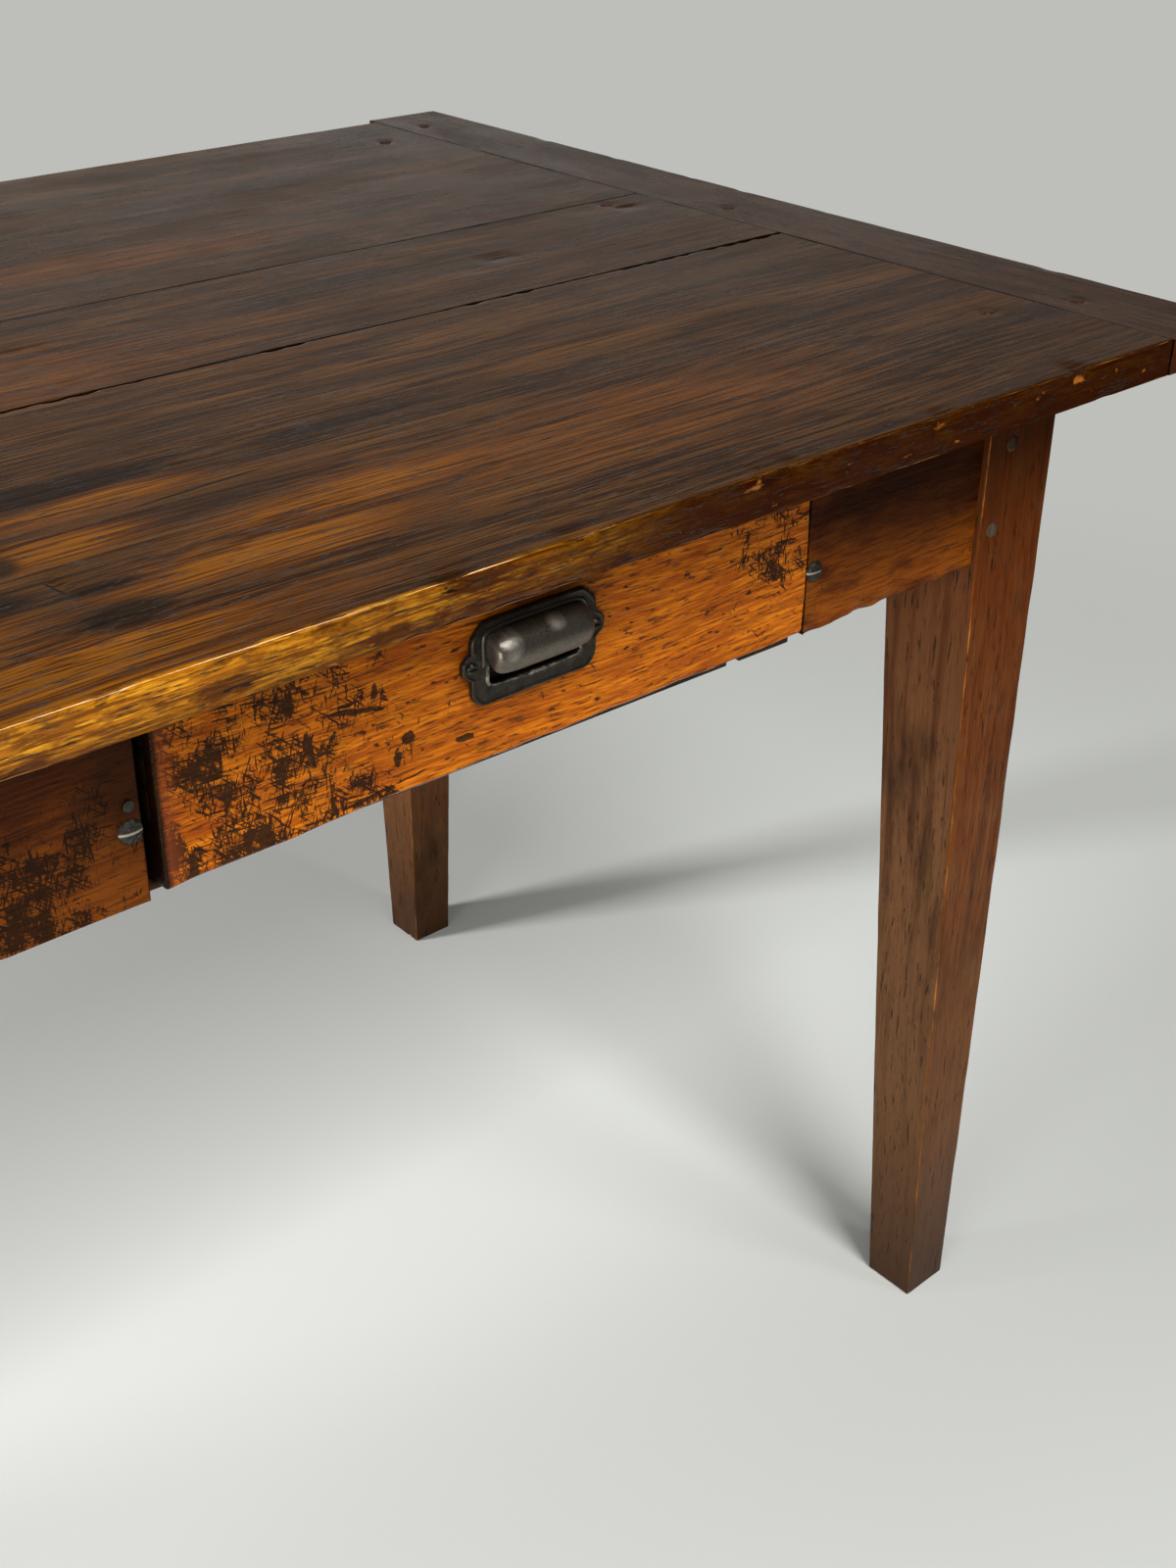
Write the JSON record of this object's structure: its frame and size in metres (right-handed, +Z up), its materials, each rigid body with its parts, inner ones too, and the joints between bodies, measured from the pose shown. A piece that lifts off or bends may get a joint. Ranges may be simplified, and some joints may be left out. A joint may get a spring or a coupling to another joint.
{
  "type": "farmhouse table",
  "caption": "Old farmhouse dining table with a boarded top in breadboard ends, tapered legs, pegged aprons and a dovetailed drawer with an iron cup pull.",
  "frame": {"origin": "on the floor, under the centre of the top", "axes": "+X along the table to the right as seen from the drawer side, -Y towards a person at the drawer, +Z up"},
  "size_m": [1.8, 0.799, 0.76],
  "materials": {
    "top_wood": "old dark stain under worn wax, streaked and ink stained",
    "breadboard_wood": "old dark stain under worn wax",
    "leg_wood": "red brown stain under wax, rubbed pale on the corners",
    "apron_wood": "dark brown stain, worn orange in patches",
    "drawer_front_wood": "orange brown stain under wax, scratched and blackened at one side",
    "inner_wood": "bare old pine, greyed",
    "peg_wood": "dark end grain",
    "pull_iron": "blackened, satin, rubbed bright on the edges",
    "screw_steel": "dull, dark with bright slots"
  },
  "bodies": {
    "table": {"top_plank_front": "top_wood", "top_plank_middle": "top_wood", "top_plank_back": "top_wood", "breadboard_end_right": "breadboard_wood", "breadboard_end_left": "breadboard_wood", "breadboard_pegs": "peg_wood", "top_pegs": "peg_wood", "leg_front_right": "leg_wood", "leg_front_left": "leg_wood", "leg_back_right": "leg_wood", "leg_back_left": "leg_wood", "leg_pegs": "peg_wood", "apron_front_right": "apron_wood", "apron_front_left": "apron_wood", "apron_back": "apron_wood", "apron_end_right": "apron_wood", "apron_end_left": "apron_wood", "drawer_guide_right": "inner_wood", "drawer_guide_left": "inner_wood", "drawer_runner_right": "inner_wood", "drawer_runner_left": "inner_wood", "drawer_rail": "apron_wood", "drawer_stops": "inner_wood", "guide_screws": "screw_steel", "guide_nail": "pull_iron"},
    "drawer": {"drawer_front": "drawer_front_wood", "drawer_side_right": "inner_wood", "drawer_side_left": "inner_wood", "drawer_back": "inner_wood", "drawer_bottom": "inner_wood", "drawer_pull": "pull_iron", "pull_screws": "screw_steel"}
  },
  "joints": [
    {"name": "drawer_slide", "type": "slide", "parent": "table", "child": "drawer", "axis": [0, -1, 0], "range_m": [0, 0.3]}
  ]
}
